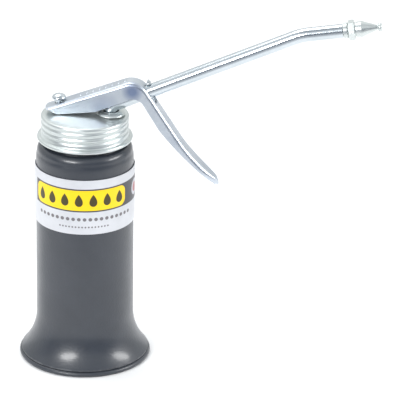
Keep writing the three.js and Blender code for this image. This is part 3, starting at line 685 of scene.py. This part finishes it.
def threaded_cap():
    edge = CREST - EDGE_ROUND
    edge_z = ROOF_TOP - ROOF_CROWN - EDGE_ROUND
    inner = CREST - CAP_SHEET
    bead = LIP_RADIUS - LIP_BEAD
    top_of_lip = LIP_LOW + 2 * LIP_BEAD
    outline = arc((bead, LIP_LOW + LIP_BEAD), LIP_BEAD, -100, 100, 14)
    outline += bow(outline[-1], (CREST + 0.15, top_of_lip), (CREST, CAP_THREAD[0]), 6)
    outline += [(CREST, z) for z in rows(*CAP_THREAD)[1:]]
    outline += arc((edge, edge_z), EDGE_ROUND, 0, 80, 7)
    outline += [(edge * s, roof_height(edge * s, ROOF_TOP)) for s in (0.97, 0.85, 0.7, 0.5, 0.25, 0)]
    under = ROOF_TOP - CAP_SHEET
    outline += [(edge * s, roof_height(edge * s, under)) for s in (0, 0.4, 0.7, 0.96)]
    outline += [(inner, edge_z - 0.4)]
    outline += [(inner, z) for z in reversed(rows(CAP_THREAD[0], edge_z - 1))]
    outline += [(inner + 0.4, top_of_lip), (bead - 0.5, LIP_LOW + 0.3)]
    piece = turned("threaded_cap", outline, steps=144)
    roll_thread(piece, *CAP_THREAD, pressed_in=True)
    rod_hole, spout_hole = 3.2, TUBE_RADIUS + 1.4
    for x, radius in ((PUMP_X, rod_hole), (SPOUT_X, spout_hole)):
        deselect()
        bpy.ops.mesh.primitive_cylinder_add(
            vertices=64, radius=radius * MM, depth=8 * MM, location=(x * MM, 0, ROOF_TOP * MM)
        )
        bpy.ops.object.transform_apply(location=True, rotation=True, scale=True)
        carve(piece, bpy.context.object)
    done(piece, "head", ["screw_cap"], SATIN_ZINC)


def pump_rod():
    slope, rim, rim_top = 0.3, 0.2, HEAD_LOW + 0.4
    dome = HEAD_TOP + HEAD_CROWN - rim_top
    outline = [(0, ROD_LOW), (ROD_RADIUS - slope, ROD_LOW), (ROD_RADIUS, ROD_LOW + slope)]
    outline += [(ROD_RADIUS, HEAD_LOW - slope), (ROD_RADIUS + slope, HEAD_LOW)]
    outline += arc((HEAD_RADIUS - rim, HEAD_LOW + rim), rim, -90, 0, 4)
    outline += arc((0, rim_top), (HEAD_RADIUS, dome), 0, 90, 14)
    piece = turned("pump_rod", outline, steps=64, x=PUMP_X, closed=False)
    done(piece, "plunger", ["plunger_rod"], ZINC)


def spout_collar():
    low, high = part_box("spout_socket")[0][2] / MM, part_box("spout_socket")[1][2] / MM
    bore = TUBE_RADIUS + 0.4
    stem = bore + 0.7
    foot = (stem + 2.3, ROOF_TOP)
    outline = [(bore, low), (stem, low), (stem, ROOF_TOP - 0.05), foot]
    outline += bow(foot, (stem + 1.7, high - 0.2), (stem, high - 0.2), 10)
    outline += [(stem - 0.15, high - 0.05), (bore + 0.2, high), (bore, high - 0.15)]
    piece = turned("spout_collar", outline, steps=64, x=SPOUT_X)
    done(piece, "head", ["spout_socket"], SATIN_ZINC)


def spout_height(x):
    return SPOUT_DATUM + x * tan(SPOUT_RISE)


TUBE_END = (KNEE_X + TIP_RUN, spout_height(KNEE_X) + TIP_RUN * tan(TIP_RISE))


def bent_spout():
    route = [
        (SPOUT_X, TUBE_FOOT),
        (SPOUT_X, spout_height(SPOUT_X)),
        (KNEE_X, spout_height(KNEE_X)),
        TUBE_END,
    ]
    piece = pipe("bent_spout", route, [ROOT_BEND, KNEE_BEND], TUBE_RADIUS, TUBE_WALL)
    done(piece, "head", ["spout_tube"], ZINC)


def onto_tip(piece):
    """Moves a piece modelled on the upright axis to the end of the spout, along its last run."""
    deselect()
    piece.select_set(True)
    bpy.context.view_layer.objects.active = piece
    piece.rotation_euler = (0, pi / 2 - TIP_RISE, 0)
    piece.location = (TUBE_END[0] * MM, 0, TUBE_END[1] * MM)
    bpy.ops.object.transform_apply(location=True, rotation=True, scale=True)


def end_ferrule():
    """A plug in the tube's end, a crimped collar, and the spigot that the nozzle screws on."""
    bore, plug, spigot = 1.1, 1.875, 2.0
    plug_foot, collar_low, collar_top, spigot_top = -4.0, 0.3, 2.3, 5.0
    collar, edge = 3.6, 0.3
    outline = [(bore, plug_foot), (plug, plug_foot), (plug, collar_low), (collar - edge, collar_low)]
    outline += arc((collar - edge, collar_low + edge), edge, -90, 0, 4)
    outline += arc((collar - edge, collar_top - edge), edge, 0, 90, 4)
    outline += [(spigot, collar_top), (spigot, spigot_top), (bore, spigot_top)]
    piece = turned("end_ferrule", outline, steps=64)
    onto_tip(piece)
    done(piece, "head", ["tube_ferrule"], SATIN_ZINC)


def nozzle():
    bore, socket, socket_end = 0.7, 2.3, 5.3
    low, hex_top, cone, waist, bead, end = 2.6, 5.4, 8.9, 15.3, 15.9, 17.7
    throat, barrel, fine = 3.2, 3.7, 1.15
    outline = [(socket, low), (throat, low), (throat, hex_top + 0.1)]
    outline += arc((throat + 0.2, hex_top + 0.4), 0.3, 180, 90, 3)
    outline += arc((barrel - 0.4, cone - 0.4), 0.4, 0, 30, 3)
    outline += [(fine, waist), (fine, bead)]
    outline += arc((fine + 0.05, bead + 0.9), (0.7, 0.9), -80, 80, 10)
    outline += [(bore, end), (bore, socket_end), (socket, socket_end)]
    piece = turned("nozzle", outline, steps=64)
    deselect()
    across_flats = 8.2
    bpy.ops.mesh.primitive_cylinder_add(
        vertices=6,
        radius=across_flats / sqrt(3) * MM,
        depth=(hex_top - low) * MM,
        location=(0, 0, (low + hex_top) / 2 * MM),
    )
    bpy.ops.object.transform_apply(location=True, rotation=True, scale=True)
    hexagon = bpy.context.object
    inside, flat, corner, drop = 2.6, 4.2, 4.8, 0.5
    half = [(inside, low), (flat, low), (corner, low + drop)]
    half += [(corner, hex_top - drop), (flat, hex_top), (inside, hex_top)]
    chamfer = turned("chamfer", half)
    carve(hexagon, chamfer, "INTERSECT")
    carve(piece, hexagon, "UNION")
    onto_tip(piece)
    ease(piece, 0.12, 2, 30)
    done(piece, "head", ["nozzle_tip"], SATIN_ZINC)


def on_spout(along, above):
    """A place along the spout's line and above it."""
    x = along * cos(SPOUT_RISE) - above * sin(SPOUT_RISE)
    z = SPOUT_DATUM + along * sin(SPOUT_RISE) + above * cos(SPOUT_RISE)
    return x, z


def hook_clip():
    foot, tall, sheet, width = TUBE_RADIUS + 0.3, 1.65, 0.6, 3.0
    start, ridge, end = 32.2, 33.64, 34.6
    corners = [(start, foot), (ridge - 0.2, foot + tall), (ridge + 0.2, foot + tall), (end, foot)]
    corners += [(end - sheet, foot), (ridge, foot + tall - sheet), (start + sheet, foot)]
    outline = [(x, -width / 2, z) for x, z in (on_spout(*corner) for corner in corners)]
    piece = plate("hook_clip", outline, (0, width, 0))
    ease(piece, 0.12)
    done(piece, "head", ["fulcrum_clip"], ZINC)


# ---- The trigger lever ----

def lever_outlines():
    """The web from its rear end to the grip's tip, and the sides' lower edge back again, from the pivot."""
    rear = REAR_END - PIVOT_X

    def rear_height(x):
        return WEB_RISE / cos(REAR_SLOPE) + x * tan(REAR_SLOPE)

    corner_x = -WEB_RISE / cos(REAR_SLOPE) / (tan(REAR_SLOPE) + tan(FRONT_SLOPE))
    reach = NOSE_BEND / cos((REAR_SLOPE + FRONT_SLOPE) / 2)
    lean = (FRONT_SLOPE - REAR_SLOPE) / 2
    centre = (corner_x - reach * sin(lean), rear_height(corner_x) - reach * cos(lean))
    straight, bend = (16.12, -24.82), (32.6, -43.2)
    web = [(rear, rear_height(rear))]
    web += arc(centre, NOSE_BEND, 90 + degrees(REAR_SLOPE), 90 - degrees(FRONT_SLOPE), 20)
    web += [straight] + bow(straight, (21.17, -32.6), bend, 14)
    web += bow(bend, (33.9, -44.6), GRIP_TIP, 6)
    grip_end, hollow = (GRIP_TIP[0] - 1.9, GRIP_TIP[1] + 0.7), (6.7, -19.9)
    edge = [grip_end] + bow(grip_end, (15.2, -31.2), hollow, 20)
    edge += [(-0.8, -7.6)] + bow((-0.8, -7.6), (-4.2, -4.2), (-8.0, -6.4), 8)
    edge += [(-22.2, -12.5), (-40.0, -14.5), (-43.7, -12.8)]
    return web, edge


def pressed_ribs():
    """A row of low oval ribs on the rear of the web."""
    ribs = []
    count, first, pitch = 8, -2.0, 2.9
    half_sizes = (0.75, 2.1, 0.35)
    for i in range(count):
        x = first + pitch * i
        z = PIVOT_Z + WEB_RISE / cos(REAR_SLOPE) + (x - PIVOT_X) * tan(REAR_SLOPE)
        deselect()
        bpy.ops.mesh.primitive_uv_sphere_add(
            segments=20, ring_count=12, radius=MM, location=(x * MM, 0, z * MM), rotation=(0, -REAR_SLOPE, 0)
        )
        rib = bpy.context.object
        rib.scale = half_sizes
        bpy.ops.object.transform_apply(location=True, rotation=True, scale=True)
        ribs.append(rib)
    deselect()
    for rib in ribs:
        rib.select_set(True)
    bpy.context.view_layer.objects.active = ribs[0]
    bpy.ops.object.join()
    return ribs[0]


def narrow_tip(piece):
    """Draws the two sides of the grip together towards its tip."""
    deselect()
    piece.select_set(True)
    bpy.context.view_layer.objects.active = piece
    bpy.ops.object.mode_set(mode="EDIT")
    grip = Vector((0.6, 0, -0.8))
    tip = Vector((PIVOT_X + GRIP_TIP[0], 0, PIVOT_Z + GRIP_TIP[1]))
    cuts = 8
    for step in range(cuts):
        cut = tip - grip * TIP_TAPER * (step + 0.6) / cuts
        bpy.ops.mesh.select_all(action="SELECT")
        bpy.ops.mesh.bisect(plane_co=cut * MM, plane_no=grip)
    bpy.ops.object.mode_set(mode="OBJECT")
    for vertex in piece.data.vertices:
        short = (tip - vertex.co / MM).dot(grip)
        share = min(1, max(0, 1 - short / TIP_TAPER))
        vertex.co.y *= 1 - TIP_NARROWING * share ** TIP_CURVE


def squeeze_lever():
    web, edge = lever_outlines()
    side = [(PIVOT_X + x, -LEVER_HALF, PIVOT_Z + z) for x, z in web + edge]
    draw(side)
    bpy.ops.mesh.edge_face_add()
    piece = finish_edit("squeeze_lever")
    folds = [Vector(point) * MM for point in side[:len(web)]]

    def on_web(vertex):
        return any((vertex.co - point).length < 1e-6 for point in folds)

    def select_web():
        bpy.ops.object.mode_set(mode="EDIT")
        bpy.ops.mesh.select_mode(type="EDGE")
        bpy.ops.mesh.select_all(action="DESELECT")
        bpy.ops.object.mode_set(mode="OBJECT")
        vertices = piece.data.vertices
        for line in piece.data.edges:
            line.select = all(on_web(vertices[i]) for i in line.vertices)
        bpy.ops.object.mode_set(mode="EDIT")

    select_web()
    bpy.ops.mesh.extrude_region_move(TRANSFORM_OT_translate={"value": (0, LEVER_HALF * MM, 0)})
    select_web()
    bpy.ops.mesh.bevel(offset=FOLD_RADIUS * MM, segments=6, affect="EDGES")
    bpy.ops.mesh.select_mode(type="VERT")
    bpy.ops.object.mode_set(mode="OBJECT")
    modify(piece, "MIRROR", use_axis=(False, True, False), use_clip=True, merge_threshold=1e-6)
    bpy.ops.object.mode_set(mode="EDIT")
    bpy.ops.mesh.select_all(action="SELECT")
    bpy.ops.mesh.remove_doubles(threshold=1e-6)
    bpy.ops.mesh.normals_make_consistent(inside=False)
    bpy.ops.object.mode_set(mode="OBJECT")
    broad = max(piece.data.polygons, key=lambda face: face.area)
    if broad.normal.y * broad.center.y < 0:
        bpy.ops.object.mode_set(mode="EDIT")
        bpy.ops.mesh.flip_normals()
        bpy.ops.object.mode_set(mode="OBJECT")
    narrow_tip(piece)
    modify(piece, "SOLIDIFY", thickness=LEVER_SHEET * MM, offset=-1, use_even_offset=True)

    rounding = LEVER_HALF + REAR_FULLNESS
    spread = degrees(asin(LEVER_HALF / rounding))
    plan = arc((REAR_END + rounding, 0), rounding, 180 - spread, 180 + spread, 16)
    past_tip = PIVOT_X + 2 * GRIP_TIP[0]
    plan += [(past_tip, -2 * LEVER_HALF), (past_tip, 2 * LEVER_HALF)]
    under_tip = PIVOT_Z + 1.5 * GRIP_TIP[1]
    carve(piece, plate("plan", [(x, y, under_tip) for x, y in plan], (0, 0, RIM)), "INTERSECT")
    play, rod_travel, tube_travel = 0.35, 1.25, 2.9
    rod_slot = stadium((PUMP_X, 0), ROD_RADIUS + play, rod_travel)
    carve(piece, plate("rod_slot", [(x, y, RIM) for x, y in rod_slot], (0, 0, 20)))
    lean = Matrix.Rotation(pi / 2 - SPOUT_RISE, 4, "Y")
    heel = Vector((PIVOT_X, 0, PIVOT_Z))
    tube_slot = stadium((TUBE_RADIUS + 0.4, 0), TUBE_RADIUS + play, tube_travel)
    slot_points = [tuple(heel + lean @ Vector((x, y, -3))) for x, y in tube_slot]
    carve(piece, plate("tube_slot", slot_points, lean @ Vector((0, 0, 8))))
    ease(piece, 0.22, 2, 40)
    carve(piece, pressed_ribs(), "UNION")
    done(piece, "trigger", ["trigger_lever"], LEVER_ZINC, 30)


# ---- The return spring, which the piston shortens ----

def return_coil():
    low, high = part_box("return_spring")
    wire, turns, corners = 0.35, 7, 14
    coil_radius = (high.x - low.x) / 2 / MM - wire
    deselect()
    bpy.ops.mesh.primitive_circle_add(
        vertices=corners,
        radius=wire * MM,
        location=(coil_radius * MM, 0, low.z + wire * MM),
        rotation=(pi / 2, 0, 0),
    )
    bpy.ops.object.transform_apply(location=True, rotation=True, scale=True)
    piece = bpy.context.object
    pitch = (high.z - low.z - 2 * wire * MM) / turns
    modify(piece, "SCREW", screw_offset=pitch, iterations=turns, steps=40, render_steps=40)
    bpy.ops.object.mode_set(mode="EDIT")
    bpy.ops.mesh.select_all(action="SELECT")
    bpy.ops.mesh.fill_holes(sides=corners)
    bpy.ops.mesh.select_all(action="SELECT")
    bpy.ops.mesh.normals_make_consistent(inside=False)
    bpy.ops.transform.translate(value=(PUMP_X * MM, 0, 0))
    finish_edit("return_coil")
    done(piece, "head", ["return_spring"], STEEL)
    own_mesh(piece)


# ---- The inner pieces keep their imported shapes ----

INNER = {
    "cap_gasket": RUBBER,
    "pump_head": BRASS,
    "gland_bush": SATIN_ZINC,
    "rod_packing": LEATHER,
    "pump_barrel": BRASS,
    "foot_valve_seat": BRASS,
    "ball_cage": BRASS,
    "pickup_tube": BRASS,
    "inlet_ball": STEEL,
    "outlet_ball": STEEL,
    "piston_washer": STEEL,
    "piston_cup": LEATHER,
    "piston_nut": BRASS,
}


def dress_inner_pieces():
    for name, finish in INNER.items():
        node = frame["nodes"][name]
        node.data.materials.clear()
        node.data.materials.append(finish)


# ---- Floor, light and camera ----

def pale_floor():
    deselect()
    bpy.ops.mesh.primitive_plane_add(size=8, location=(0, 0, 0))
    floor = bpy.context.object
    floor.name = "floor"
    made, tree, surface, where = material("Pale floor")
    tone = blend(tree, place(tree, CLOUDS, where, Scale=2.0), (0.90, 0.90, 0.90), (0.93, 0.93, 0.93))
    # Painted shade: the floor turns dark grey in front of the can, towards the camera, so that the lever's
    # sides and the label reflect a darker floor.
    depth = add(tree, "ShaderNodeSeparateXYZ", {0: where}).outputs[1]
    painted_shade_front = between(tree, depth, -0.12, -0.36)
    tree.links.new(blend(tree, painted_shade_front, tone, (0.36, 0.37, 0.39)), surface.inputs["Base Color"])
    surface.inputs["Roughness"].default_value = 0.9
    surface.inputs["Specular IOR Level"].default_value = 0.1
    floor.data.materials.append(made)


def soft_box(name, place_at, size, power, aim=(0, 0, 0.08)):
    light = bpy.data.lights.new(name, "AREA")
    light.shape = "ELLIPSE"
    light.size, light.size_y = size
    light.energy = power
    lamp = bpy.data.objects.new(name, light)
    lamp.location = place_at
    lamp.rotation_euler = (Vector(aim) - Vector(place_at)).to_track_quat("-Z", "Y").to_euler()
    bpy.context.collection.objects.link(lamp)


def studio_light():
    world = bpy.data.worlds.new("Studio")
    world.use_nodes = True
    tree = world.node_tree
    backdrop = tree.nodes["Background"]
    look = add(tree, "ShaderNodeTexCoord").outputs["Generated"]
    split = add(tree, "ShaderNodeSeparateXYZ", {0: look}).outputs

    def sky(*stops):
        """Tones from the horizon up, as (sine of the height, tone)."""
        ramp = add(tree, "ShaderNodeValToRGB", {0: split[2]})
        ramp.color_ramp.interpolation = "EASE"
        made = ramp.color_ramp.elements
        made[0].position, made[1].position = stops[0][0], stops[-1][0]
        made[0].color, made[1].color = (*stops[0][1], 1), (*stops[-1][1], 1)
        for height, tone in stops[1:-1]:
            made.new(height).color = (*tone, 1)
        return ramp.outputs[0]

    zenith = (1.0, (0.5, 0.52, 0.55))
    front = sky(
        (0.0, (0.10, 0.12, 0.16)),
        (0.3, (0.17, 0.20, 0.26)),
        (0.5, (0.85, 0.88, 0.90)),
        (0.72, (0.82, 0.85, 0.88)),
        (0.88, (0.36, 0.39, 0.43)),
        zenith,
    )
    back = sky(
        (0.0, (0.70, 0.72, 0.72)),
        (0.3, (0.78, 0.80, 0.80)),
        (0.5, (1.0, 1.02, 1.02)),
        (0.8, (0.95, 0.97, 0.98)),
        zenith,
    )
    share = between(tree, split[1], -0.35, 0.15)
    tree.links.new(blend(tree, share, front, back), backdrop.inputs["Color"])
    backdrop.inputs["Strength"].default_value = 1.0
    bpy.context.scene.world = world
    soft_box("left_box", (-0.57, -1.07, 0.68), (0.8, 0.28), 11)
    soft_box("right_box", (1.22, -0.14, 0.62), (0.8, 0.28), 8)
    soft_box("top_box", (-0.35, 0.45, 1.5), (1.1, 0.8), 9)


def studio_camera():
    place_at, aim, roll = (0.1828, -1.4888, 0.7221), (-0.0796, 0.9152, -0.3951), radians(0.8)
    camera = bpy.data.cameras.new("camera")
    camera.sensor_width = 36.0
    camera.lens = 318.15
    camera.clip_start, camera.clip_end = 0.05, 30.0
    seat = bpy.data.objects.new("camera", camera)
    bpy.context.collection.objects.link(seat)
    forward = Vector(aim).normalized()
    level = forward.cross(Vector((0, 0, 1))).normalized()
    raised = level.cross(forward)
    right = level * cos(roll) + raised * sin(roll)
    upward = raised * cos(roll) - level * sin(roll)
    turn = Matrix((right, upward, -forward)).transposed()
    seat.matrix_world = Matrix.Translation(place_at) @ turn.to_4x4()
    bpy.context.scene.camera = seat


studio_camera()
pale_floor()
studio_light()
bpy.context.scene.view_settings.view_transform = "Standard"

can_shell()
rolled_base()
label_film()
threaded_cap()
pump_rod()
spout_collar()
bent_spout()
end_ferrule()
nozzle()
hook_clip()
squeeze_lever()
return_coil()
dress_inner_pieces()
